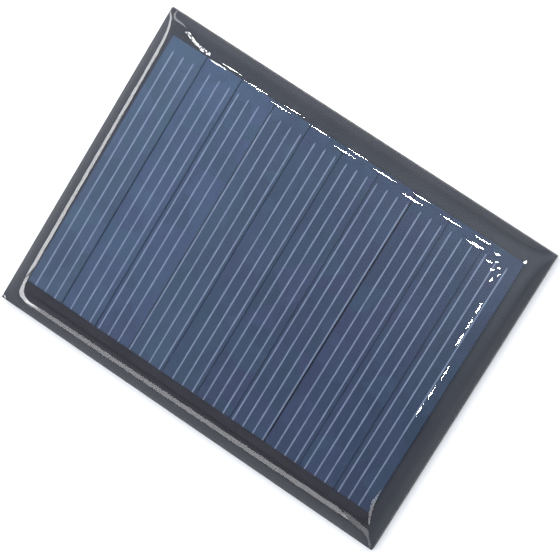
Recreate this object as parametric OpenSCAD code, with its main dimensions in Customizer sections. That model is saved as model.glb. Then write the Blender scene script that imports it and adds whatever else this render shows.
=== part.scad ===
// Small resin-encapsulated solar panel: ten cell strips in series on a black circuit board,
// under a clear domed casting. The back of the board lies on z = 0 and +Z faces the sun.

/* [Board] */
// Length of the board, along X
board_w = 80; // [78:1:120]
// Width of the board, along Y
board_d = 60; // [58:1:100]
// Thickness of the finished board, with its copper and both coats of lacquer
board_t = 1.28; // [0.8:0.02:2]
// Thickness of each coat of lacquer where it lies on bare laminate
lacquer_t = 0.08; // [0.06:0.01:0.12]
// Thickness of the copper foil
foil_t = 0.035; // [0.018:0.001:0.05]

/* [Resin] */
// Thickness of the whole panel at the top of the resin
panel_h = 3; // [2.6:0.1:4]
// Length over which the resin's sloping edge levels out
meniscus_l = 1.9; // [1:0.1:3]
// Height of the resin's upright lip along the edge of the board
lip_h = 0.1; // [0.05:0.05:0.3]

/* [Cells] */
// Width of each cell strip
strip_w = 7.11; // [6.8:0.01:7.15]
// Length of each cell strip
strip_l = 52; // [40:1:52]
// Distance from one strip to the next
strip_pitch = 7.31; // [7.31:0.01:7.4]
// Thickness of the silicon
wafer_t = 0.2; // [0.16:0.01:0.25]
// Thickness of the aluminium contact on the back of each strip
rear_contact_t = 0.03; // [0.02:0.01:0.05]
// Sideways shift of the row of strips from the middle of the board
row_shift = -0.4; // [-1:0.1:1]

/* [Silver fingers] */
// Width of a finger
finger_w = 0.2; // [0.1:0.01:0.3]
// Height of the printed silver
finger_h = 0.02; // [0.01:0.005:0.04]
// Distance from one finger to the next
finger_pitch = 2.12; // [1.8:0.01:2.5]
// Bare margin between the fingers' tips and the upper end of a strip
tip_margin = 2.2; // [1:0.1:3]
// Width of the busbar across the lower end of a strip
busbar_w = 0.9; // [0.8:0.1:1.6]
// Bare margin between the busbar and the lower end of a strip
busbar_margin = 0.3; // [0.2:0.1:0.4]

/* [Ribbons and cover strip] */
// Thickness of the tinned copper ribbon
ribbon_t = 0.1; // [0.08:0.01:0.12]
// Width of the ribbon's legs and crossbars
ribbon_w = 1.4; // [1:0.1:1.5]
// Thickness of the black strip over the soldered ends
cover_t = 0.08; // [0.05:0.01:0.1]
// How far the black strip reaches up over the cells
cover_reach = 1.4; // [1.4:0.1:3]

/* [Back of the board] */
// Length of each solder pad, along X
pad_w = 6; // [4:0.5:8]
// Width of each solder pad, along Y
pad_d = 4; // [3:0.5:5]
// Distance from the middle of the board to the middle of each pad
pad_x = 28; // [24:0.5:30]
// Place of the pads along Y
pad_y = -21; // [-22:0.5:-18]
// Width of the copper traces
trace_w = 1.6; // [1:0.1:2]
// Radius of the plated holes
via_r = 0.4; // [0.3:0.05:0.5]
// Size of the plus and minus marks
mark_l = 3; // [2:0.5:4]
// Width of the marks' strokes
mark_w = 0.6; // [0.4:0.1:0.8]

/* [Hidden] */
strip_count = 10;
strips = [1 : strip_count];
links = [1 : strip_count - 1];

// Where the first finger falls on each strip, from the strip's left edge: the strips are cut from
// wide wafers without regard to the printed pattern
first_finger = [1.4, 1.8, 0.65, 0.18, 2.2, 1.5, 0.55, 2.15, 1.1, 0.85];
// How far each strip lies from its even place, as laid by hand
lay_error = [0, 0.04, 0.06, 0.01, -0.01, 0.01, -0.03, 0.05, 0.05, 0.07];
// The least that a finger keeps from a cut edge
edge_clear = 0.08;

// Heights of the layers, from the back of the board to the cover strip
laminate_z = lacquer_t;
laminate_top = board_t - lacquer_t;
film_z = board_t;
film_t = ribbon_t;
contact_z = film_z + film_t;
wafer_z = contact_z + rear_contact_t;
wafer_top = wafer_z + wafer_t;
silver_top = wafer_top + finger_h;
ribbon_top = silver_top + ribbon_t;
cover_top = ribbon_top + cover_t;

// Places along Y
strip_y = -strip_l / 2;
busbar_y = strip_y + busbar_margin;
film_inset = 0.2;
step_gap = 0.15;
crossbar_y = strip_y - step_gap - ribbon_w;
tongue_l = 3;
cover_y = crossbar_y - 0.3;
cover_end_y = strip_y + cover_reach;
cover_side = 0.5;

// Places along X
row_w = strip_pitch * (strip_count - 1) + strip_w;
row_x = row_shift - row_w / 2;
leg_inset = 0.8;
tongue_x = 0.9;
land_w = 2.6;
mark_ink_t = 0.02;
mark_gap = 2.5;
round_facets = 48;

function two(i) = i < 10 ? str("0", i) : str(i);
function strip_x(i) = row_x + strip_pitch * (i - 1) + lay_error[i - 1];
function finger_count(i) = 1 + floor((strip_w - edge_clear - finger_w / 2 - first_finger[i - 1]) / finger_pitch);
function names(stem, range) = [for (i = range) str(stem, "_", two(i))];

// The middle of the land at each end of the string: side is -1 at the positive end, 1 at the negative
function land_x(side) = side < 0 ? strip_x(1) + tongue_x + land_w / 2
                                 : strip_x(strip_count) + strip_w - leg_inset - land_w / 2;
function land_y() = crossbar_y + ribbon_w / 2;

// A block from its low corner, length, width and height
module block(x, y, z, w, d, h) {
    translate([x, y, z]) cube([w, d, h]);
}

// Board

module land(side) {
    color("peru")
        block(land_x(side) - land_w / 2, crossbar_y, laminate_top, land_w, ribbon_w, lacquer_t);
}

module via(side) {
    color("peru") translate([land_x(side), land_y(), laminate_z])
        cylinder(r = via_r, h = laminate_top - laminate_z, $fn = round_facets);
}

module pad(side) {
    color("silver") block(side * pad_x - pad_w / 2, pad_y - pad_d / 2, 0, pad_w, pad_d, lacquer_t);
}

// The outline of a trace: out from the plated hole, then up to the pad and along to its near edge
module trace_outline(side) {
    near_edge = side * (pad_x + pad_w / 2);
    reach = max(0, side * (land_x(side) - near_edge));
    translate([land_x(side) - trace_w / 2, land_y() - trace_w / 2])
        square([trace_w, pad_y - land_y() + trace_w]);
    translate([min(land_x(side), near_edge), pad_y - trace_w / 2]) square([reach, trace_w]);
}

module trace(side) {
    color("peru") translate([0, 0, lacquer_t - foil_t]) linear_extrude(foil_t) trace_outline(side);
}

module plus_outline() {
    translate([-pad_x + pad_w / 2 + mark_gap, pad_y]) {
        square([mark_l, mark_w], center = true);
        square([mark_w, mark_l], center = true);
    }
}

module minus_outline() {
    translate([pad_x - pad_w / 2 - mark_gap, pad_y]) square([mark_l, mark_w], center = true);
}

module plus_mark() {
    color("white") linear_extrude(mark_ink_t) plus_outline();
}

module minus_mark() {
    color("white") linear_extrude(mark_ink_t) minus_outline();
}

module rear_solder_mask() {
    color([0.1, 0.1, 0.11]) difference() {
        block(-board_w / 2, -board_d / 2, 0, board_w, board_d, lacquer_t);
        for (side = [-1, 1]) {
            block(side * pad_x - pad_w / 2, pad_y - pad_d / 2, -1, pad_w, pad_d, lacquer_t + 2);
            translate([0, 0, lacquer_t - foil_t]) linear_extrude(1) trace_outline(side);
        }
        translate([0, 0, mark_ink_t - 1]) linear_extrude(1) {
            plus_outline();
            minus_outline();
        }
    }
}

module board_laminate() {
    color([0.13, 0.13, 0.12]) difference() {
        block(-board_w / 2, -board_d / 2, laminate_z, board_w, board_d, laminate_top - laminate_z);
        for (side = [-1, 1])
            translate([land_x(side), land_y(), -1]) cylinder(r = via_r, h = board_t + 2, $fn = round_facets);
    }
}

module front_solder_mask() {
    color([0.11, 0.11, 0.13]) difference() {
        block(-board_w / 2, -board_d / 2, laminate_top, board_w, board_d, lacquer_t);
        for (side = [-1, 1])
            block(land_x(side) - land_w / 2, crossbar_y, 0, land_w, ribbon_w, board_t + 1);
    }
}

// Cells

module rear_contact(i) {
    color("gray") block(strip_x(i), strip_y, contact_z, strip_w, strip_l, rear_contact_t);
}

module cell(i) {
    color([0.30, 0.35, 0.46]) block(strip_x(i), strip_y, wafer_z, strip_w, strip_l, wafer_t);
}

module fingers(i) {
    for (k = [0 : finger_count(i) - 1])
        block(finger_x(i, k), busbar_y, wafer_top, finger_w, strip_y + strip_l - tip_margin - busbar_y, finger_h);
}

module finger_grid(i) {
    color("silver") {
        fingers(i);
        block(strip_x(i) + edge_clear, busbar_y, wafer_top, strip_w - 2 * edge_clear, busbar_w, finger_h);
    }
}

// The tongue of a ribbon, from its crossbar to under the strip's lower end
module tongue(i) {
    block(strip_x(i) + tongue_x, crossbar_y, film_z, ribbon_w, ribbon_w + step_gap + tongue_l, film_t);
}

// The front leg of a ribbon: along the busbar, over the strip's lower end and down to the board
module front_leg(i) {
    x = strip_x(i) + leg_inset;
    w = strip_w - 2 * leg_inset;
    block(x, busbar_y, silver_top, w, busbar_w, ribbon_t);
    block(x + w - land_w, strip_y - step_gap, silver_top, land_w, busbar_y - strip_y + step_gap, ribbon_t);
    block(x + w - land_w, strip_y - step_gap, film_z, land_w, ribbon_t, ribbon_top - film_z);
    block(x + w - land_w, crossbar_y, film_z, land_w, ribbon_w + ribbon_t, ribbon_t);
}

module interconnect_ribbon(i) {
    color("silver") {
        front_leg(i);
        start = strip_x(i) + strip_w - leg_inset - land_w;
        block(start, crossbar_y, film_z, strip_x(i + 1) + tongue_x + ribbon_w - start, ribbon_w, ribbon_t);
        tongue(i + 1);
    }
}

module positive_end_ribbon() {
    color("silver") {
        tongue(1);
        block(strip_x(1) + tongue_x, crossbar_y, film_z, land_w, ribbon_w, ribbon_t);
    }
}

module negative_end_ribbon() {
    color("silver") front_leg(strip_count);
}

module cell_bonding_film() {
    color([0.12, 0.12, 0.14]) difference() {
        block(row_x - film_inset, strip_y, film_z, row_w + 2 * film_inset, strip_l, film_t);
        for (i = strips)
            block(strip_x(i) + tongue_x, strip_y - 1, 0, ribbon_w, 1 + tongue_l, panel_h);
    }
}

// Section of the cover strip: flat over the cells, then down over the step onto the crossbars
module cover_section(under) {
    step_y = strip_y - step_gap;
    low = film_z + ribbon_t;
    polygon(under
        ? [[cover_end_y, film_z], [cover_end_y, cover_top], [step_y - cover_t, cover_top],
           [step_y - cover_t, low + cover_t], [cover_y, low + cover_t], [cover_y, film_z]]
        : [[cover_end_y, ribbon_top], [cover_end_y, cover_top], [step_y - cover_t, cover_top],
           [step_y - cover_t, low + cover_t], [cover_y, low + cover_t], [cover_y, low],
           [step_y, low], [step_y, ribbon_top]]);
}

module cover_sweep(under) {
    translate([row_x - cover_side, 0, 0]) rotate([90, 0, 90])
        linear_extrude(row_w + 2 * cover_side) cover_section(under);
}

module busbar_cover_strip() {
    color([0.09, 0.09, 0.10]) cover_sweep(false);
}

// Resin

// Distances from an edge at which the dome's net has lines, closest where it curves most
net_steps = [0, 0.25, 0.55, 0.9, 1.3, 1.8, 2.4, 3.2, 4.3, 6, 9, 14];
// Rise of the resin at a distance from one edge, as a share of its full height
function rise(d) = 1 - exp(-d / meniscus_l);
function rise_share(d, size) = rise(d) * rise(size - d) / pow(rise(size / 2), 2);
function net_lines(size) = concat(
    [for (d = net_steps) d - size / 2], [0],
    [for (k = [len(net_steps) - 1 : -1 : 0]) size / 2 - net_steps[k]]);
xs = net_lines(board_w);
ys = net_lines(board_d);
dome_h = panel_h - board_t - lip_h;
function dome_z(x, y) = board_t + lip_h
    + dome_h * rise_share(x + board_w / 2, board_w) * rise_share(y + board_d / 2, board_d);

// Top net, then a bottom net on the board, so that the skirt joins line by line
module dome() {
    nx = len(xs);
    ny = len(ys);
    top = [for (y = ys) for (x = xs) [x, y, dome_z(x, y)]];
    rim = concat(
        [for (i = [0 : nx - 1]) i],
        [for (j = [1 : ny - 1]) j * nx + nx - 1],
        [for (i = [nx - 2 : -1 : 0]) (ny - 1) * nx + i],
        [for (j = [ny - 2 : -1 : 1]) j * nx]);
    base = [for (k = rim) [top[k][0], top[k][1], board_t]];
    n = nx * ny;
    m = len(rim);
    quads = [for (j = [0 : ny - 2]) for (i = [0 : nx - 2])
             let (a = j * nx + i) [a, a + nx, a + nx + 1, a + 1]];
    skirt = [for (k = [0 : m - 1]) [rim[k], rim[(k + 1) % m], n + (k + 1) % m, n + k]];
    underside = [for (k = [0 : m - 1]) [n + k, n + (k + 1) % m, n + m]];
    polyhedron(points = concat(top, base, [[0, 0, board_t]]),
               faces = concat(quads, skirt, underside), convexity = 4);
}

// Section across the row of strips, of the space that they, their fingers and their film take up
function finger_x(i, k) = strip_x(i) + first_finger[i - 1] + k * finger_pitch - finger_w / 2;
function finger_points(i, k) = [for (p = [[0, 0], [0, 1], [1, 1], [1, 0]])
    [finger_x(i, k) + p[0] * finger_w, wafer_top + p[1] * finger_h]];
row_section = concat(
    [[row_x - film_inset, board_t - 1], [row_x - film_inset, contact_z]],
    [for (i = strips) each concat(
        [[strip_x(i), contact_z], [strip_x(i), wafer_top]],
        [for (k = [0 : finger_count(i) - 1]) each finger_points(i, k)],
        [[strip_x(i) + strip_w, wafer_top], [strip_x(i) + strip_w, contact_z]])],
    [[row_x + row_w + film_inset, contact_z], [row_x + row_w + film_inset, board_t - 1]]);

module resin_cover() {
    color([0.85, 0.88, 0.92, 0.3]) difference() {
        dome();
        translate([0, strip_y + strip_l, 0]) rotate([90, 0, 0]) linear_extrude(strip_l) polygon(row_section);
        cover_sweep(true);
    }
}

rear_solder_mask();
pad(-1);  // rear_pad_positive
pad(1);  // rear_pad_negative
trace(-1);  // rear_trace_positive
trace(1);  // rear_trace_negative
plus_mark();
minus_mark();
board_laminate();
via(-1);  // via_positive
via(1);  // via_negative
land(-1);  // front_land_positive
land(1);  // front_land_negative
front_solder_mask();
cell_bonding_film();
for (i = strips) {
    rear_contact(i);
    cell(i);
    finger_grid(i);
}
for (i = links)
    interconnect_ribbon(i);
positive_end_ribbon();
negative_end_ribbon();
busbar_cover_strip();
resin_cover();
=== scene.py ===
"""Looks of a small resin-sealed solar panel, worked out around its CAD frame.

The clear casting, the printed silver, the lacquer on the back and the solder pads are surfaces
computed here with numpy. The other CAD pieces keep their shape and get a finish.
"""

import bpy
import numpy as np
from bpy.props import FloatProperty, FloatVectorProperty, PointerProperty
from mathutils import Matrix, Vector


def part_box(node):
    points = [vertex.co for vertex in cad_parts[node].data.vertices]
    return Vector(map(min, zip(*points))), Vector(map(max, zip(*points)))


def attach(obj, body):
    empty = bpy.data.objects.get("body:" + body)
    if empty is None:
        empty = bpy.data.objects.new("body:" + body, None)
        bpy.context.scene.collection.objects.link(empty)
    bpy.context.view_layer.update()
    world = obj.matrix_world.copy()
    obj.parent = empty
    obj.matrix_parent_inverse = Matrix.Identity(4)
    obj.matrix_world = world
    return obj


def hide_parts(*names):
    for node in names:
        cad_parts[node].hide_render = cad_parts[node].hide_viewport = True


bl_info = {
    "name": "Resin-sealed solar panel",
    "version": (1, 0, 0),
    "blender": (4, 5, 0),
    "location": "3D View > Sidebar > Solar Panel",
    "description": "Builds the looks of a small resin-sealed solar panel around its CAD frame",
    "category": "Object",
}

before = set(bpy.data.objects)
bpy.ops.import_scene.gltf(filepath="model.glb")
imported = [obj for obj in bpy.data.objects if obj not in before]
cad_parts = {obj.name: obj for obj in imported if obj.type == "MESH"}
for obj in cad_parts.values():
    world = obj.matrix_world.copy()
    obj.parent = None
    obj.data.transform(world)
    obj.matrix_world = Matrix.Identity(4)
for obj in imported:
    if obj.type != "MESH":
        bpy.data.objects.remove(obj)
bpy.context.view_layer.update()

MM = 0.001
STRIPS = range(1, 11)
# Specular level of a surface in air, and of one under the resin, which bends light much as it does
IN_AIR, UNDER_RESIN = 0.5, 0.05
POLES = ("positive", "negative")
RESIN_LOW, RESIN_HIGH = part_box("resin_cover")
# Lengths of the waves in the swell of the resin's top, in metres
SWELL_WAVES = (0.031, 0.047, 0.039)


def linear(code):
    """An sRGB hex colour as linear red, green, blue and alpha: the power law of the sRGB standard."""
    shown = np.array([int(code[i:i + 2], 16) for i in (1, 3, 5)]) / 255
    light = np.where(shown <= 0.04045, shown / 12.92, ((shown + 0.055) / 1.055) ** 2.4)
    return (*light.tolist(), 1.0)


def length(name, description, default):
    """A size in millimetres for the sidebar, kept in metres."""
    return FloatProperty(
        name=name, description=description, default=default * MM, unit="LENGTH", precision=5
    )


def colour(name, description, code):
    """A colour for the sidebar, from its sRGB hex value."""
    return FloatVectorProperty(
        name=name, description=description, default=linear(code), size=4, subtype="COLOR", min=0, max=1
    )


class PanelSizes(bpy.types.PropertyGroup):
    """Sizes that the frame doesn't give."""

    meniscus: length("Meniscus", "Length over which the resin's sloping edge levels out", 1.9)
    lip: length("Resin lip", "Height of the resin's upright lip on the board", 0.1)
    wetting: length("Wetting depth", "How far the resin reaches into the lacquer under it", 0.005)
    ripple: length("Ripple height", "Height of the ripples in the resin's sloping edge", 0.0015)
    ripple_wave: length("Ripple length", "Length of one ripple along the resin's edge", 15.0)
    print_spread: length("Print spread", "How far the silver paste spreads on each side of a finger", 0.04)
    tip_fade: length("Tip fade", "Length over which a finger narrows at its free end", 0.9)
    finger_wobble: length("Finger wobble", "How far a printed finger's edge wanders", 0.012)
    relief: length("Lacquer relief", "How far the back's lacquer stands out over a trace", 0.02)
    solder_edge: length("Solder edge", "Width of the rounded edge of a solder pad", 0.5)


class PanelColours(bpy.types.PropertyGroup):
    """Base colours of the finishes."""

    lacquer: colour("Lacquer", "Black solder lacquer", "#2f3238")
    laminate: colour("Laminate", "Sawn edge of the black laminate", "#262420")
    fibre: colour("Glass fibre", "Ends of the glass fibres in the sawn edge", "#4a463e")
    film: colour("Bonding film", "Dark film under the cells", "#38455c")
    silver: colour("Silver print", "Fired silver paste", "#727e94")
    contact: colour("Rear contact", "Fired aluminium paste", "#a9abad")
    tin: colour("Tin", "Tinned copper and solder", "#c9cacb")
    copper: colour("Copper", "Copper foil", "#c98d6b")
    ink: colour("Ink", "White legend ink", "#e4e3de")
    tape: colour("Cover strip", "Black polyester strip", "#28282e")
    resin: colour("Resin", "Tint of the clear epoxy", "#fbfcff")
    floor: colour("Floor", "Pale floor", "#fafafa")


# Where the bonding film is olive and where it is dark, and how far each colour reaches, as shares of
# the panel's length
OLIVE_SPOT, DARK_SPOT, FADE = 0.3125, 0.678, 0.02
# The colour of each strip's coating, from the positive end: each is cut from a wafer of its own with its own
# tint, plus painted shade that darkens the strips one after another as the light falls off along the panel
STRIP_TINTS_AND_SHADE = (
    "#3a4a5d", "#38485f", "#35445b", "#324255", "#2f3e53",
    "#2b384f", "#2a364e", "#27344c", "#26344c", "#263349",
)


# Surfaces


def spread(low, high, fine, coarse, reach):
    """Grid lines from low to high: fine steps at both ends, which grow by a fixed ratio up to coarse.

    Step k is fine * ratio^k, with the ratio set so that the steps reach coarse within reach.
    """
    count = max(4, int(round(2 * reach / (fine + coarse))))
    steps = fine * (coarse / fine) ** (np.arange(count) / (count - 1))
    near = np.concatenate([[0], np.cumsum(steps)])
    middle = (high - low) - 2 * near[-1]
    inner = max(2, int(round(middle / coarse)))
    between = near[-1] + middle * np.arange(1, inner) / inner
    return low + np.concatenate([near, between, (high - low) - near[::-1]])


def mesh_object(name, points, faces, smooth, material):
    """A mesh object at the origin from arrays of points and of four-cornered faces. The flags in smooth
    say which faces are shaded smooth."""
    mesh = bpy.data.meshes.new(name)
    mesh.vertices.add(len(points))
    mesh.vertices.foreach_set("co", np.asarray(points, np.float32).ravel())
    mesh.loops.add(faces.size)
    mesh.loops.foreach_set("vertex_index", faces.astype(np.int32).ravel())
    mesh.polygons.add(len(faces))
    mesh.polygons.foreach_set("loop_start", np.arange(0, faces.size, 4, dtype=np.int32))
    mesh.polygons.foreach_set("use_smooth", smooth)
    mesh.update(calc_edges=True)
    mesh.validate()
    made = bpy.data.objects.new(name, mesh)
    mesh.materials.append(material)
    bpy.context.scene.collection.objects.link(made)
    return made


def slab(xs, ys, top, bottom):
    """Points, faces and smooth flags of a closed slab between two height fields.

    Both fields are z(x, y) on the lines xs and ys. The upper grid faces up, the lower one down, and a
    wall of quads joins their rims, so the surface is closed. The wall and the underside stay flat.
    """
    nx, ny = len(xs), len(ys)
    gx, gy = np.meshgrid(xs, ys)
    points = np.concatenate([np.stack([gx, gy, z], -1).reshape(-1, 3) for z in (top, bottom)])
    index = np.arange(nx * ny).reshape(ny, nx)
    up = np.stack([index[:-1, :-1], index[:-1, 1:], index[1:, 1:], index[1:, :-1]], -1).reshape(-1, 4)
    down = up[:, ::-1] + nx * ny
    rim = np.concatenate([index[0, :-1], index[:-1, -1], index[-1, :0:-1], index[:0:-1, 0]])
    after = np.roll(rim, -1)
    wall = np.stack([rim, rim + nx * ny, after + nx * ny, after], -1)
    faces = np.concatenate([up, down, wall])
    smooth = np.zeros(len(faces), bool)
    smooth[:len(up)] = True
    return points, faces, smooth


def joined(parts):
    """Several sets of points, faces and smooth flags as one, with each set's faces renumbered."""
    points, faces, smooth, start = [], [], [], 0
    for p, f, s in parts:
        points.append(p)
        faces.append(f + start)
        smooth.append(s)
        start += len(p)
    return np.concatenate(points), np.concatenate(faces), np.concatenate(smooth)


def ripple(along, across, height, wave, reach, seed):
    """Ripples along an edge: three sines of uneven length along it, fading with distance across it."""
    phase = np.random.default_rng(seed).uniform(0, 2 * np.pi, 3)
    waves = sum(
        share * np.sin(2 * np.pi * along / (wave * ratio) + p)
        for share, ratio, p in zip((0.55, 0.3, 0.15), (1.0, 0.62, 0.37), phase)
    )
    return height * waves * (across / reach) * np.exp(1 - across / reach)


def dome_height(x, y, sizes):
    """Height of the resin at x, y, in metres.

    z = lip + h (1 - e^(-dx/m)) (1 - e^(-dy/m)), where dx and dy are the distances from the nearer
    edges, m is the meniscus length and h the full height. Ripples that fade inwards are added along
    each edge, and a swell of a tenth of their height over the middle. Nothing rises above the CAD's top.
    """
    base = RESIN_LOW.z + sizes.lip
    crest = sizes.ripple * 1.2
    full = RESIN_HIGH.z - base - crest
    dx = np.minimum(x - RESIN_LOW.x, RESIN_HIGH.x - x)
    dy = np.minimum(y - RESIN_LOW.y, RESIN_HIGH.y - y)
    rise_x = 1 - np.exp(-dx / sizes.meniscus)
    rise_y = 1 - np.exp(-dy / sizes.meniscus)
    reach = 2 * sizes.meniscus
    # Each edge's coordinate along it, the distance from it, its fade at the corners and its seed
    edges = (
        (y, x - RESIN_LOW.x, rise_y, 11),
        (y, RESIN_HIGH.x - x, rise_y, 23),
        (x, y - RESIN_LOW.y, rise_x, 37),
        (x, RESIN_HIGH.y - y, rise_x, 53),
    )
    waves = sum(
        fade * ripple(along, across, sizes.ripple, sizes.ripple_wave, reach, seed)
        for along, across, fade, seed in edges
    )
    slanted = np.sin(2 * np.pi * (x / SWELL_WAVES[0] + y / SWELL_WAVES[1]))
    swell = 0.1 * sizes.ripple * slanted * np.sin(2 * np.pi * y / SWELL_WAVES[2])
    return np.minimum(base + full * rise_x * rise_y + waves + swell * rise_x * rise_y, RESIN_HIGH.z)


def ridge(x, low_y, high_y, base, width, height, sizes, seed):
    """A printed finger: a low rounded ridge carried along Y, with a wandering edge and a pointed tip.

    Across the finger the height is h (1 - 0.9 u^4) for u from -1 to 1. Along it the half width is w/2
    plus a random wobble, and both shrink as a quarter circle over the tip's fade.
    """
    across = np.linspace(-1, 1, 7)
    ys = spread(low_y, high_y, 0.06 * MM, 0.5 * MM, 1.5 * MM)
    rng = np.random.default_rng(seed)
    knots = np.linspace(low_y, high_y, 90)
    wander = np.interp(ys, knots, rng.normal(0, 1, len(knots))) * sizes.finger_wobble
    tip = np.clip((high_y - ys) / sizes.tip_fade, 0.02, 1)
    taper = np.sqrt(1 - (1 - tip) ** 2)
    half = (width / 2 + wander) * taper
    gx = x + half[:, None] * across[None, :]
    top = base + height * (1 - 0.9 * across[None, :] ** 4) * taper[:, None]
    bottom = np.full_like(top, base)
    points, faces, smooth = slab(across, ys, top, bottom)
    points[:, 0] = np.concatenate([gx.ravel(), gx.ravel()])
    return points, faces, smooth


def plateau(x, y, low, high, edge):
    """1 inside a rectangle and 0 outside it, with a smooth step of width edge at its border."""
    inside = np.minimum.reduce([x - low[0], high[0] - x, y - low[1], high[1] - y])
    u = np.clip(inside / edge + 0.5, 0, 1)
    return u * u * (3 - 2 * u)


# Finishes


def add(tree, kind, inputs=None, **settings):
    """Adds a node: settings are its own properties, and inputs gives each socket a value or a link."""
    made = tree.nodes.new(kind)
    for name, value in settings.items():
        setattr(made, name, value)
    for socket, value in (inputs or {}).items():
        if isinstance(value, bpy.types.NodeSocket):
            tree.links.new(value, made.inputs[socket])
        else:
            made.inputs[socket].default_value = value
    return made


def new_finish(name):
    """An empty material, its node tree and its Object coordinates."""
    made = bpy.data.materials.new(name)
    made.use_nodes = True
    made.node_tree.nodes.clear()
    place = add(made.node_tree, "ShaderNodeTexCoord").outputs["Object"]
    return made, made.node_tree, place


def close_finish(tree, shader):
    """Sends a shader to the material's output."""
    add(tree, "ShaderNodeOutputMaterial", {"Surface": shader})


def per_metre(size_mm):
    """The scale of a pattern whose features are size_mm across.

    A wave texture repeats every 0.314 of that, so 3.1 gives it waves about 1 mm long.
    """
    return 1 / (size_mm * MM)


def blend_colours(tree, share, first, second):
    """The colour socket of first and second mixed by share."""
    mixed = add(tree, "ShaderNodeMix", {0: share, 6: first, 7: second}, data_type="RGBA")
    return mixed.outputs[2]


def ramp(tree, factor, low, high, at_low, at_high):
    """A value that goes from at_low to at_high as factor goes from low to high."""
    made = add(
        tree, "ShaderNodeMapRange",
        {"Value": factor, "From Min": low, "From Max": high, "To Min": at_low, "To Max": at_high},
    )
    return made.outputs["Result"]


def clear_epoxy(colours):
    """Clear cast epoxy: bends light as a solid 1.52 glass does, with a mirror-smooth skin that has
    a very faint orange peel. Rays from lamps pass straight through to what it covers."""
    made, tree, place = new_finish("clear_cast_epoxy")
    peel = add(tree, "ShaderNodeTexNoise", {"Vector": place, "Scale": per_metre(2.5), "Detail": 1.0})
    bump = add(
        tree, "ShaderNodeBump", {"Height": peel.outputs[0], "Strength": 0.05, "Distance": 0.002 * MM}
    )
    wear = add(tree, "ShaderNodeTexNoise", {"Vector": place, "Scale": per_metre(14), "Detail": 4.0})
    glass = add(
        tree, "ShaderNodeBsdfPrincipled",
        {
            "Base Color": colours.resin,
            "Roughness": ramp(tree, wear.outputs[0], 0.4, 0.8, 0.0, 0.02),
            "IOR": 1.52,
            "Transmission Weight": 1.0,
            "Normal": bump.outputs[0],
        },
    )
    through = add(tree, "ShaderNodeBsdfTransparent", {"Color": colours.resin})
    path = add(tree, "ShaderNodeLightPath")
    both = add(
        tree, "ShaderNodeMixShader",
        {0: path.outputs["Is Shadow Ray"], 1: glass.outputs[0], 2: through.outputs[0]},
    )
    close_finish(tree, both.outputs[0])
    return made


def coated_silicon(number, shaded_tint):
    """Polycrystalline silicon with a blue anti-reflection coat: dull satin, in long crystal grains that
    differ a little in brightness and in how far they lean to purple or to teal. The strip's tint holds
    painted shade too, darker the further the strip lies along the panel."""
    made, tree, place = new_finish(f"coated_silicon_{number:02d}")
    turned = add(
        tree, "ShaderNodeMapping",
        {"Vector": place, "Location": (number * 0.37, number * 0.11, 0), "Rotation": (0, 0, 0.5 + number)},
    )
    grain = add(
        tree, "ShaderNodeTexVoronoi",
        {"Vector": turned.outputs[0], "Scale": per_metre(5), "Randomness": 1.0}, voronoi_dimensions="2D",
    )
    small = add(
        tree, "ShaderNodeTexVoronoi",
        {"Vector": turned.outputs[0], "Scale": per_metre(1.6), "Randomness": 1.0}, voronoi_dimensions="2D",
    )
    split = add(tree, "ShaderNodeSeparateColor", {"Color": grain.outputs["Color"]})
    fine = add(tree, "ShaderNodeSeparateColor", {"Color": small.outputs["Color"]})
    lean = blend_colours(tree, split.outputs[0], linear("#304b58"), linear("#3e4060"))
    # The strip's tint carries painted shade as well as its wafer's own colour
    tinted = blend_colours(tree, 0.25, linear(shaded_tint), lean)
    bright = ramp(tree, split.outputs[1], 0, 1, 0.96, 1.15)
    bright_fine = ramp(tree, fine.outputs[0], 0, 1, 0.95, 1.05)
    shade = add(tree, "ShaderNodeMath", {0: bright, 1: bright_fine}, operation="MULTIPLY")
    base = add(
        tree, "ShaderNodeVectorMath", {0: tinted, "Scale": shade.outputs[0]}, operation="SCALE"
    )
    etch = add(tree, "ShaderNodeTexNoise", {"Vector": place, "Scale": per_metre(0.3), "Detail": 2.0})
    bump = add(
        tree, "ShaderNodeBump", {"Height": etch.outputs[0], "Strength": 0.15, "Distance": 0.01 * MM}
    )
    surface = add(
        tree, "ShaderNodeBsdfPrincipled",
        {
            "Base Color": base.outputs[0],
            "Roughness": ramp(tree, split.outputs[2], 0, 1, 0.42, 0.55),
            "Specular IOR Level": 0.1,
            "Normal": bump.outputs[0],
        },
    )
    close_finish(tree, surface.outputs[0])
    return made


def silver_paste(colours):
    """Screen-printed and fired silver paste: a matte and grainy blue-grey, a little darker in patches."""
    made, tree, place = new_finish("fired_silver_paste")
    grain = add(tree, "ShaderNodeTexNoise", {"Vector": place, "Scale": per_metre(0.12), "Detail": 3.0})
    patch = add(tree, "ShaderNodeTexNoise", {"Vector": place, "Scale": per_metre(6), "Detail": 2.0})
    share = ramp(tree, patch.outputs[0], 0.35, 0.65, 0.0, 0.45)
    base = blend_colours(tree, share, colours.silver, linear("#626c82"))
    bump = add(
        tree, "ShaderNodeBump", {"Height": grain.outputs[0], "Strength": 0.4, "Distance": 0.01 * MM}
    )
    surface = add(
        tree, "ShaderNodeBsdfPrincipled",
        {
            "Base Color": base,
            "Roughness": ramp(tree, grain.outputs[0], 0.3, 0.7, 0.5, 0.7),
            "Specular IOR Level": 0.1,
            "Normal": bump.outputs[0],
        },
    )
    close_finish(tree, surface.outputs[0])
    return made


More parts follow.
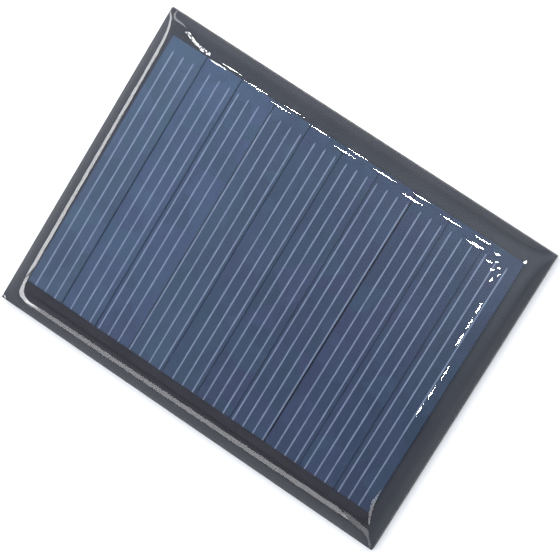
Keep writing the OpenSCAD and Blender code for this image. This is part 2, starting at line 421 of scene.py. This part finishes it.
def solder_lacquer(name, colours, shine):
    """Black solder lacquer on fibreglass: semi-gloss, with the cloth's weave faint beneath it. Under
    the resin, which bends light as much as it does, it has next to no shine of its own."""
    made, tree, place = new_finish(name)
    weave = add(
        tree, "ShaderNodeTexWave", {"Vector": place, "Scale": per_metre(3.1), "Distortion": 0.6},
        bands_direction="X",
    )
    cross = add(
        tree, "ShaderNodeTexWave", {"Vector": place, "Scale": per_metre(3.1), "Distortion": 0.6},
        bands_direction="Y",
    )
    cloth = add(tree, "ShaderNodeMath", {0: weave.outputs[1], 1: cross.outputs[1]}, operation="ADD")
    cloud = add(tree, "ShaderNodeTexNoise", {"Vector": place, "Scale": per_metre(9), "Detail": 3.0})
    share = ramp(tree, cloud.outputs[0], 0.3, 0.7, 0.0, 1.0)
    base = blend_colours(tree, share, colours.lacquer, linear("#34363c"))
    bump = add(
        tree, "ShaderNodeBump", {"Height": cloth.outputs[0], "Strength": 0.1, "Distance": 0.003 * MM}
    )
    surface = add(
        tree, "ShaderNodeBsdfPrincipled",
        {
            "Base Color": base,
            "Roughness": ramp(tree, cloud.outputs[0], 0.3, 0.7, 0.30, 0.42),
            "Specular IOR Level": shine,
            "Normal": bump.outputs[0],
        },
    )
    close_finish(tree, surface.outputs[0])
    return made


def sawn_laminate(colours):
    """Sawn glass-epoxy laminate: dull, with the pale ends of the cloth's fibres in thin layers."""
    made, tree, place = new_finish("sawn_glass_epoxy")
    flat = add(tree, "ShaderNodeMapping", {"Vector": place, "Scale": (1, 1, 6)})
    fibres = add(
        tree, "ShaderNodeTexNoise", {"Vector": flat.outputs[0], "Scale": per_metre(0.9), "Detail": 4.0}
    )
    layers = add(
        tree, "ShaderNodeTexWave", {"Vector": place, "Scale": per_metre(1.1), "Distortion": 1.5},
        bands_direction="Z",
    )
    ends = add(tree, "ShaderNodeMath", {0: fibres.outputs[0], 1: layers.outputs[1]}, operation="MULTIPLY")
    base = blend_colours(
        tree, ramp(tree, ends.outputs[0], 0.25, 0.6, 0.0, 0.7), colours.laminate, colours.fibre
    )
    bump = add(
        tree, "ShaderNodeBump", {"Height": fibres.outputs[0], "Strength": 0.5, "Distance": 0.02 * MM}
    )
    surface = add(
        tree, "ShaderNodeBsdfPrincipled",
        {"Base Color": base, "Roughness": 0.75, "Normal": bump.outputs[0]},
    )
    close_finish(tree, surface.outputs[0])
    return made


def metal(name, base, dull, rough, grain_mm):
    """A bare metal: its colour goes dull in small patches, and its grain breaks up the shine."""
    made, tree, place = new_finish(name)
    patch = add(tree, "ShaderNodeTexNoise", {"Vector": place, "Scale": per_metre(1.5), "Detail": 3.0})
    grain = add(tree, "ShaderNodeTexNoise", {"Vector": place, "Scale": per_metre(grain_mm), "Detail": 2.0})
    share = ramp(tree, patch.outputs[0], 0.4, 0.7, 0.0, 0.6)
    bump = add(
        tree, "ShaderNodeBump", {"Height": grain.outputs[0], "Strength": 0.2, "Distance": 0.01 * MM}
    )
    surface = add(
        tree, "ShaderNodeBsdfPrincipled",
        {
            "Base Color": blend_colours(tree, share, base, dull),
            "Metallic": 1.0,
            "Roughness": ramp(tree, patch.outputs[0], 0.3, 0.7, rough, rough + 0.15),
            "Normal": bump.outputs[0],
        },
    )
    close_finish(tree, surface.outputs[0])
    return made


def dull_coat(name, base, patches, rough, patch_mm, shine=IN_AIR):
    """A dull coat or film: a plain colour with soft patches of a second one and a fine tooth. Its
    shine is half in air and almost none under the resin."""
    made, tree, place = new_finish(name)
    patch = add(tree, "ShaderNodeTexNoise", {"Vector": place, "Scale": per_metre(patch_mm), "Detail": 3.0})
    tooth = add(tree, "ShaderNodeTexNoise", {"Vector": place, "Scale": per_metre(0.1), "Detail": 1.0})
    share = ramp(tree, patch.outputs[0], 0.35, 0.65, 0.0, 1.0)
    bump = add(
        tree, "ShaderNodeBump", {"Height": tooth.outputs[0], "Strength": 0.2, "Distance": 0.005 * MM}
    )
    surface = add(
        tree, "ShaderNodeBsdfPrincipled",
        {
            "Base Color": blend_colours(tree, share, base, patches),
            "Roughness": ramp(tree, patch.outputs[0], 0.3, 0.7, rough, rough + 0.1),
            "Specular IOR Level": shine,
            "Normal": bump.outputs[0],
        },
    )
    close_finish(tree, surface.outputs[0])
    return made


def bonding_film(colours):
    """Blue-grey bonding film, seen in the gaps between the cells: dull, gone olive with age along one gap
    and nearly black along another."""
    made, tree, place = new_finish("blue_grey_bonding_film")
    along = add(tree, "ShaderNodeSeparateXYZ", {"Vector": place}).outputs["X"]
    tone = add(tree, "ShaderNodeValToRGB", {"Fac": ramp(tree, along, RESIN_LOW.x, RESIN_HIGH.x, 0, 1)})
    stops = tone.color_ramp.elements
    stops[0].color = stops[1].color = colours.film
    for spot, shown in ((OLIVE_SPOT, linear("#47523f")), (DARK_SPOT, linear("#07090d"))):
        for offset, code in ((-FADE, colours.film), (0.0, shown), (FADE, colours.film)):
            stops.new(spot + offset).color = code
    cloud = add(tree, "ShaderNodeTexNoise", {"Vector": place, "Scale": per_metre(3), "Detail": 2.0})
    share = ramp(tree, cloud.outputs[0], 0.35, 0.65, 0.0, 0.5)
    surface = add(
        tree, "ShaderNodeBsdfPrincipled",
        {
            "Base Color": blend_colours(tree, share, tone.outputs[0], linear("#333e53")),
            "Roughness": 0.5,
            "Specular IOR Level": UNDER_RESIN,
        },
    )
    close_finish(tree, surface.outputs[0])
    return made


def give(material, *nodes):
    """Puts one finish on CAD nodes, in place of their plain one."""
    for name in nodes:
        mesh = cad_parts[name].data
        mesh.materials.clear()
        mesh.materials.append(material)


# Pieces


class PANEL_OT_resin(bpy.types.Operator):
    """Makes the clear resin casting with its rippled, sloping edge"""

    bl_idname = "panel.resin"
    bl_label = "Clear resin casting"

    def execute(self, context):
        sizes = context.scene.panel_sizes
        xs = spread(RESIN_LOW.x, RESIN_HIGH.x, 0.08 * MM, 0.6 * MM, 12 * MM)
        ys = spread(RESIN_LOW.y, RESIN_HIGH.y, 0.08 * MM, 0.6 * MM, 12 * MM)
        gx, gy = np.meshgrid(xs, ys)
        top = dome_height(gx, gy, sizes)
        bottom = np.full_like(top, RESIN_LOW.z - sizes.wetting)
        epoxy = clear_epoxy(context.scene.panel_colours)
        made = mesh_object("resin_casting", *slab(xs, ys, top, bottom), epoxy)
        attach(made, "root")
        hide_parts("resin_cover")
        return {"FINISHED"}


class PANEL_OT_cells(bpy.types.Operator):
    """Gives each silicon strip its own blue coat, darkened strip by strip with painted shade, and their rear
    contacts and film their finishes
    """

    bl_idname = "panel.cells"
    bl_label = "Cell strips"

    def execute(self, context):
        colours = context.scene.panel_colours
        for number, shaded_tint in zip(STRIPS, STRIP_TINTS_AND_SHADE):
            give(coated_silicon(number, shaded_tint), f"cell_{number:02d}")
        paste = dull_coat("fired_aluminium_paste", colours.contact, linear("#8f9193"), 0.6, 1.2, UNDER_RESIN)
        give(paste, *[f"rear_contact_{number:02d}" for number in STRIPS])
        give(bonding_film(colours), "cell_bonding_film")
        return {"FINISHED"}


def comb_outline(node, low, high):
    """A finger grid's shape, from its CAD node and its box: where its fingers' middles are and how wide
    they are, where its busbar ends along X, and how far up the busbar reaches."""
    corners = np.array([v.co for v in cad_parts[node].data.vertices])
    tips = np.unique(np.round(corners[corners[:, 1] > high.y - 0.1 * MM, 0], 6))
    lefts, rights = tips[0::2], tips[1::2]
    foot = corners[corners[:, 1] < low.y + 0.1 * MM, 0]
    bar_top = np.unique(np.round(corners[:, 1], 6))[1]
    return (lefts + rights) / 2, float(np.mean(rights - lefts)), (foot.min(), foot.max()), bar_top


def busbar(left, right, low_y, high_y, base, height):
    """The printed bar across the fingers' feet: full height inside, a smooth step down to 0.3 of it."""
    rim = 0.05 * MM
    xs = spread(left, right, rim, 0.8 * MM, 1 * MM)
    ys = spread(low_y, high_y, rim, 0.3 * MM, 0.4 * MM)
    gx, gy = np.meshgrid(xs, ys)
    inside = plateau(gx, gy, (xs[0] + rim, ys[0] + rim), (xs[-1] - rim, ys[-1] - rim), 2 * rim)
    top = base + height * (0.3 + 0.7 * inside)
    return slab(xs, ys, top, np.full_like(top, base))


class PANEL_OT_fingers(bpy.types.Operator):
    """Makes the printed silver fingers and busbar of each strip"""

    bl_idname = "panel.fingers"
    bl_label = "Printed silver"

    def execute(self, context):
        material = silver_paste(context.scene.panel_colours)
        sizes = context.scene.panel_sizes
        for number in STRIPS:
            name = f"finger_grid_{number:02d}"
            low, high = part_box(name)
            centres, width, bar_ends, bar_top = comb_outline(name, low, high)
            height = high.z - low.z
            start = bar_top - 0.1 * MM
            wide = width + 2 * sizes.print_spread
            parts = [
                ridge(x, start, high.y, low.z, wide, height, sizes, 100 * number + k)
                for k, x in enumerate(centres)
            ]
            parts.append(busbar(*bar_ends, low.y, bar_top, low.z, height))
            made = mesh_object(f"printed_silver_{number:02d}", *joined(parts), material)
            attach(made, "root")
            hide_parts(name)
        return {"FINISHED"}


def trace_legs(node):
    """The two legs of an L-shaped trace, as corner pairs, from the outline of its node."""
    corners = np.array([v.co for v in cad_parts[node].data.vertices])
    xs, ys = (np.unique(np.round(corners[:, k], 6)) for k in (0, 1))
    outer_left = abs(xs[0]) > abs(xs[-1])
    leg = (xs[0], xs[1]) if outer_left else (xs[-2], xs[-1])
    upright = Vector((leg[0], ys[0], 0)), Vector((leg[1], ys[-1], 0))
    across = Vector((xs[0], ys[1], 0)), Vector((xs[-1], ys[-1], 0))
    return [upright, across]


def covered(xs, ys, boxes, edge):
    """1 on the grid inside any of the boxes and 0 outside them, with smooth steps of width edge."""
    gx, gy = np.meshgrid(xs, ys)
    return np.maximum.reduce([plateau(gx, gy, (a.x, a.y), (b.x, b.y), edge) for a, b in boxes])


def relief_lines(low, high, boxes, axis, step):
    """Grid lines from low to high: every 4 mm, and closely round each border of the given boxes."""
    coarse = np.linspace(low, high, int(round((high - low) / (4 * MM))) + 1)
    borders = np.array([corner[axis] for box in boxes for corner in box])
    near = (borders[:, None] + step * np.array([-0.6, -0.3, 0, 0.3, 0.6])).ravel()
    lines = np.unique(np.round(np.concatenate([coarse, near]), 6))
    inner = lines[(lines > low + step) & (lines < high - step)]
    rim = 0.1 * MM
    return np.concatenate([[low, low + rim], inner, [high - rim, high]])


class PANEL_OT_board(bpy.types.Operator):
    """Finishes the board's edge and front, and makes the lacquer on its back"""

    bl_idname = "panel.board"
    bl_label = "Board"

    def execute(self, context):
        colours, sizes = context.scene.panel_colours, context.scene.panel_sizes
        lacquer = solder_lacquer("black_solder_lacquer", colours, IN_AIR)
        give(sawn_laminate(colours), "board_laminate")
        give(solder_lacquer("lacquer_under_resin", colours, UNDER_RESIN), "front_solder_mask")
        ink = dull_coat("white_legend_ink", colours.ink, linear("#cfcdc6"), 0.6, 0.8)
        give(ink, "plus_mark", "minus_mark")
        low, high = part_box("rear_solder_mask")
        legs = [leg for pole in POLES for leg in trace_legs(f"rear_trace_{pole}")]
        pads = [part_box(f"rear_pad_{pole}") for pole in POLES]
        step = 0.35 * MM
        xs = relief_lines(low.x, high.x, legs + pads, 0, step)
        ys = relief_lines(low.y, high.y, legs + pads, 1, step)
        over = covered(xs, ys, legs, step)
        opening = covered(xs, ys, pads, 0.1 * MM)
        # The lacquer dips 0.9 of its thickness at a pad and stands out over a trace
        bottom = low.z + sizes.relief * (1 - over) * (1 - opening) + (high.z - low.z) * 0.9 * opening
        points, faces, smooth = slab(xs, ys, np.full_like(bottom, high.z), bottom)
        smooth[:2 * (len(xs) - 1) * (len(ys) - 1)] = True
        made = mesh_object("rear_lacquer", points, faces, smooth, lacquer)
        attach(made, "root")
        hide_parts("rear_solder_mask")
        return {"FINISHED"}


class PANEL_OT_metal(bpy.types.Operator):
    """Makes the rounded solder pads, and finishes the ribbons and the copper"""

    bl_idname = "panel.metal"
    bl_label = "Solder, ribbon and copper"

    def execute(self, context):
        colours, sizes = context.scene.panel_colours, context.scene.panel_sizes
        tin = metal("bright_solder", colours.tin, linear("#a5a6a8"), 0.18, 0.8)
        ribbon = metal("tinned_ribbon", colours.tin, linear("#b3b4b6"), 0.25, 0.3)
        copper = metal("copper_foil", colours.copper, linear("#a06a4c"), 0.35, 0.2)
        give(ribbon, *[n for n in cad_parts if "ribbon" in n])
        give(copper, *[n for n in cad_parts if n.startswith(("rear_trace", "via", "front_land"))])
        for pole in POLES:
            low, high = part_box(f"rear_pad_{pole}")
            edge = sizes.solder_edge
            xs = spread(low.x, high.x, 0.04 * MM, 0.3 * MM, 1 * MM)
            ys = spread(low.y, high.y, 0.04 * MM, 0.3 * MM, 1 * MM)
            gx, gy = np.meshgrid(xs, ys)
            ux = np.clip(np.minimum(gx - low.x, high.x - gx) / edge, 0, 1)
            uy = np.clip(np.minimum(gy - low.y, high.y - gy) / edge, 0, 1)
            crown = np.sqrt((1 - (1 - ux) ** 2) * (1 - (1 - uy) ** 2))
            bottom = high.z - (high.z - low.z) * (0.15 + 0.85 * crown)
            points, faces, smooth = slab(xs, ys, np.full_like(bottom, high.z), bottom)
            smooth[:2 * (len(xs) - 1) * (len(ys) - 1)] = True
            made = mesh_object(f"solder_pad_{pole}", points, faces, smooth, tin)
            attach(made, "root")
            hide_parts(f"rear_pad_{pole}")
        return {"FINISHED"}


class PANEL_OT_cover_strip(bpy.types.Operator):
    """Gives the black strip over the soldered ends of the cells its finish"""

    bl_idname = "panel.cover_strip"
    bl_label = "Black cover strip"

    def execute(self, context):
        colours = context.scene.panel_colours
        material = dull_coat("black_polyester_strip", colours.tape, linear("#2c2c33"), 0.4, 3.0, UNDER_RESIN)
        give(material, "busbar_cover_strip")
        return {"FINISHED"}


# Stage


def facing(place, aim, along):
    """The turn of a lamp at place that faces aim, with its long side towards along."""
    back = (place - aim).normalized()
    side = (along - back * along.dot(back)).normalized()
    return Matrix((side, back.cross(side), back)).transposed().to_quaternion()


def lamp(name, place, turn, size, brightness, only_in_gloss):
    """An area lamp at place, in mm. Its power is pi times its brightness times its two sizes.

    A lamp only in gloss shows in reflections and lights nothing. Any other lights the panel and shows
    in none.
    """
    data = bpy.data.lights.new(name, "AREA")
    data.shape = "RECTANGLE"
    data.size, data.size_y = size[0] * MM, size[1] * MM
    data.energy = brightness * np.pi * data.size * data.size_y
    made = bpy.data.objects.new(name, data)
    made.location = place * MM
    made.rotation_mode = "QUATERNION"
    made.rotation_quaternion = turn
    made.visible_camera = False
    made.visible_glossy = only_in_gloss
    made.visible_transmission = not only_in_gloss
    made.visible_diffuse = not only_in_gloss
    bpy.context.scene.collection.objects.link(made)
    return made


def room_lamp(name, place, side, brightness):
    """A square lamp that lights the panel from place, in mm."""
    place = Vector(place)
    turn = (-place).to_track_quat("-Z", "Y")
    lamp(name, place, turn, (side, side), brightness, only_in_gloss=False)


def strip_light(name, start, end, level, width, brightness):
    """A strip light from start to end at one level, in mm, that faces the panel's middle."""
    start, end = Vector((*start, level)), Vector((*end, level))
    middle = (start + end) / 2
    turn = facing(middle, Vector(), end - start)
    lamp(name, middle, turn, ((end - start).length, width), brightness, only_in_gloss=True)


# Where the camera stands: what it aims at (mm), how far off it is (mm), and its angles, given in
# degrees and kept in radians
CAMERA_AIM = (1.34, 0.13, 0)
CAMERA_DISTANCE = 475.8
CAMERA_AROUND, CAMERA_LEAN, CAMERA_TURN = np.radians([40.71, 16.24, 122.18])
CAMERA_BACK = Vector((
    np.sin(CAMERA_LEAN) * np.cos(CAMERA_AROUND),
    np.sin(CAMERA_LEAN) * np.sin(CAMERA_AROUND),
    np.cos(CAMERA_LEAN),
))
# Half the angle of a ceiling lamp's beam, and how near the resin's rim it is aimed (mm)
BEAM = np.radians(5)
RIM = 3


def camera_place():
    """Where the camera stands, in mm."""
    return Vector(CAMERA_AIM) + CAMERA_BACK * CAMERA_DISTANCE


def ceiling_lamp(name, place, along, size):
    """A small ceiling lamp with a narrow beam, aimed at the stretch of the resin's rim that mirrors it.

    That stretch is the point of the resin nearest to where a flat mirror on the floor would show the
    lamp to the camera. The lamp's power is scaled so that the middle of its beam has LAMP_BRIGHTNESS. A
    lamp as long as it is wide is round, and 4/pi times as bright, because its area is smaller.
    """
    mirrored = place.lerp(camera_place(), place.z / (place.z + camera_place().z))
    low, high = RESIN_LOW / MM, RESIN_HIGH / MM
    aim = np.clip((mirrored.x, mirrored.y), (low.x + RIM, low.y + RIM), (high.x - RIM, high.y - RIM))
    turn = facing(place, Vector((*aim, 0)), along)
    brightness = LAMP_BRIGHTNESS * (1 - BEAM / np.tan(BEAM))
    made = lamp(name, place, turn, size, brightness, only_in_gloss=True)
    made.data.shape = "DISK" if size[0] == size[1] else "RECTANGLE"
    made.data.spread = 2 * BEAM


# Strip lights round the panel: name, start, end, width, level (mm) and brightness
STRIP_LIGHTS = (
    ("side_strip", (-296, 60), (-211, -95), 42, 200, 10.5),
    ("corner_strip", (-211, -95), (-130, -228), 28, 200, 12.0),
    ("front_strip", (-130, -232), (0, -165), 46, 200, 4.4),
    ("end_strip", (0, -165), (110, -168), 44, 200, 2.4),
    ("far_strip", (46, -71), (85, -112), 12, 200, 4.0),
    ("tip_strip", (-225, 270), (-380, 170), 24, 400, 5.0),
)
# Level of the ceiling lamps (mm) and their brightness
CEILING = 400
LAMP_BRIGHTNESS = 80.0
# Small ceiling lamps in rows: name, first, last, how many, and size along and across the row (mm)
CEILING_ROWS = (
    ("row_near", (-141, 59), (-36, 3), 5, (5.5, 8.5)),
    ("row_middle", (-125, 70), (-22, 18), 5, (5.5, 8.5)),
    ("row_far", (-136, 94), (-34, 38), 5, (5.5, 8.5)),
    ("turn_near", (-150, 86), (-205, 175), 7, (5, 10)),
    ("turn_far", (-152, 108), (-195, 195), 7, (5, 10)),
    ("bend_near", (-25, -14), (-10, -32), 3, (3, 5)),
    ("bend_far", (-18, -6), (-2, -24), 3, (3, 5)),
    ("side_near", (0, -46), (2, -58), 3, (4, 4.5)),
    ("side_far", (20, -70), (12, -84), 3, (4, 4.5)),
    ("corner_lamp", (61, 57), (61, 57), 1, (22, 22)),
)


# Grey of the room at three heights of view, from 0 at eye level to 1 overhead, and the way to the window
SKY_GREYS = ((0.45, 0.65), (0.65, 0.55), (0.90, 0.20))
WINDOW_WAY = (-0.7, 0.7, 0.0)


class PANEL_OT_stage(bpy.types.Operator):
    """Makes the pale floor, the soft studio light and the camera"""

    bl_idname = "panel.stage"
    bl_label = "Floor, light and camera"
    soft: FloatProperty(name="Softbox", description="Brightness of the large softbox", default=1.0, min=0)
    key: FloatProperty(name="Key light", description="Brightness of the nearer lamp", default=16.0, min=0)

    def execute(self, context):
        scene = context.scene
        scene.view_settings.view_transform = "Standard"
        self.make_floor(scene)
        self.make_sky(scene)
        self.make_lamps()
        self.make_camera(scene)
        return {"FINISHED"}

    def make_floor(self, scene):
        material, tree, place = new_finish("pale_paper")
        tooth = add(tree, "ShaderNodeTexNoise", {"Vector": place, "Scale": per_metre(1.0), "Detail": 2.0})
        bump = add(
            tree, "ShaderNodeBump", {"Height": tooth.outputs[0], "Strength": 0.1, "Distance": 0.02 * MM}
        )
        surface = add(
            tree, "ShaderNodeBsdfPrincipled",
            {"Base Color": scene.panel_colours.floor, "Roughness": 0.9, "Normal": bump.outputs[0]},
        )
        close_finish(tree, surface.outputs[0])
        # The floor lies just clear of the panel's back, so that the two don't share a plane
        level = -0.05 * MM
        half = 1.5
        ends = np.array([-half, half])
        gx, gy = np.meshgrid(ends, ends)
        points = np.stack([gx, gy, np.full_like(gx, level)], -1).reshape(-1, 3)
        floor = mesh_object("floor", points, np.array([[0, 1, 3, 2]]), [False], material)

    def make_sky(self, scene):
        world = bpy.data.worlds.new("soft_room")
        world.use_nodes = True
        tree = world.node_tree
        tree.nodes.clear()
        way = add(tree, "ShaderNodeTexCoord").outputs["Generated"]
        split = add(tree, "ShaderNodeSeparateXYZ", {"Vector": way})
        level = add(tree, "ShaderNodeValToRGB", {"Fac": split.outputs["Z"]})
        stops = level.color_ramp.elements
        stops[0].position, stops[0].color = 0.0, (0.80, 0.80, 0.82, 1)
        stops[1].position, stops[1].color = 1.0, (0.16, 0.16, 0.17, 1)
        for height, grey in SKY_GREYS:
            stops.new(height).color = (grey * 0.97, grey, grey * 1.08, 1)
        # The room is brighter towards the window
        side = add(tree, "ShaderNodeVectorMath", {0: way, 1: WINDOW_WAY}, operation="DOT_PRODUCT")
        window = ramp(tree, side.outputs["Value"], -0.5, 0.6, 1.3, 1.95)
        level = add(
            tree, "ShaderNodeVectorMath", {0: level.outputs[0], "Scale": window}, operation="SCALE"
        )
        # A pale patch of ceiling overhead, brighter on one side
        inward = ramp(tree, split.outputs["Y"], -0.20, -0.12, 0.0, 1.0)
        high = ramp(tree, split.outputs["Z"], 0.80, 0.95, 0.0, 1.0)
        aside = ramp(tree, split.outputs["X"], -0.23, -0.14, 0.5, 1.7)
        glow = add(tree, "ShaderNodeMath", {0: inward, 1: high}, operation="MULTIPLY")
        glow = add(tree, "ShaderNodeMath", {0: glow.outputs[0], 1: aside}, operation="MULTIPLY")
        ceiling = add(
            tree, "ShaderNodeVectorMath", {0: linear("#c6d2dc")[:3], "Scale": glow.outputs[0]},
            operation="SCALE",
        )
        both = add(
            tree, "ShaderNodeVectorMath", {0: level.outputs[0], 1: ceiling.outputs[0]}, operation="ADD"
        )
        sky = add(tree, "ShaderNodeBackground", {"Color": both.outputs[0], "Strength": 1.0})
        add(tree, "ShaderNodeOutputWorld", {"Surface": sky.outputs[0]})
        scene.world = world

    def make_lamps(self):
        room_lamp("softbox", (-60, 60, 500), 700, self.soft)
        room_lamp("soft_key", (-150, 150, 130), 100, self.key)
        for name, start, end, width, level, brightness in STRIP_LIGHTS:
            strip_light(name, start, end, level, width, brightness)
        for name, start, end, count, size in CEILING_ROWS:
            start, end = Vector((*start, CEILING)), Vector((*end, CEILING))
            for k in range(count):
                ceiling_lamp(f"{name}_{k}", start.lerp(end, k / max(1, count - 1)), end - start, size)

    def make_camera(self, scene):
        data = bpy.data.cameras.new("camera")
        data.sensor_width = 36
        data.lens = 177
        data.clip_start = 0.01
        made = bpy.data.objects.new("camera", data)
        up = Vector((np.cos(CAMERA_TURN), np.sin(CAMERA_TURN), 0))
        up = (up - CAMERA_BACK * up.dot(CAMERA_BACK)).normalized()
        pose = Matrix((up.cross(CAMERA_BACK), up, CAMERA_BACK)).transposed().to_4x4()
        pose.translation = camera_place() * MM
        made.matrix_world = pose
        scene.collection.objects.link(made)
        scene.camera = made


class PANEL_PT_sidebar(bpy.types.Panel):
    """Sizes, colours and makers of the solar panel"""

    bl_idname = "PANEL_PT_sidebar"
    bl_label = "Solar panel"
    bl_space_type = "VIEW_3D"
    bl_region_type = "UI"
    bl_category = "Solar Panel"

    def draw(self, context):
        for group in (context.scene.panel_sizes, context.scene.panel_colours):
            column = self.layout.column()
            for name in group.bl_rna.properties.keys():
                if name not in ("rna_type", "name"):
                    column.prop(group, name)
        for operator in OPERATORS:
            self.layout.operator(operator.bl_idname)


OPERATORS = (
    PANEL_OT_stage, PANEL_OT_resin, PANEL_OT_cells, PANEL_OT_fingers, PANEL_OT_board,
    PANEL_OT_metal, PANEL_OT_cover_strip,
)
CLASSES = (PanelSizes, PanelColours, *OPERATORS, PANEL_PT_sidebar)


def register():
    for made in CLASSES:
        bpy.utils.register_class(made)
    bpy.types.Scene.panel_sizes = PointerProperty(type=PanelSizes)
    bpy.types.Scene.panel_colours = PointerProperty(type=PanelColours)


def unregister():
    del bpy.types.Scene.panel_sizes
    del bpy.types.Scene.panel_colours
    for made in reversed(CLASSES):
        bpy.utils.unregister_class(made)


def main():
    """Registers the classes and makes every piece."""
    register()
    bpy.ops.panel.stage()
    bpy.ops.panel.resin()
    bpy.ops.panel.cells()
    bpy.ops.panel.fingers()
    bpy.ops.panel.board()
    bpy.ops.panel.metal()
    bpy.ops.panel.cover_strip()
    bpy.context.view_layer.update()


if __name__ == "__main__":
    main()
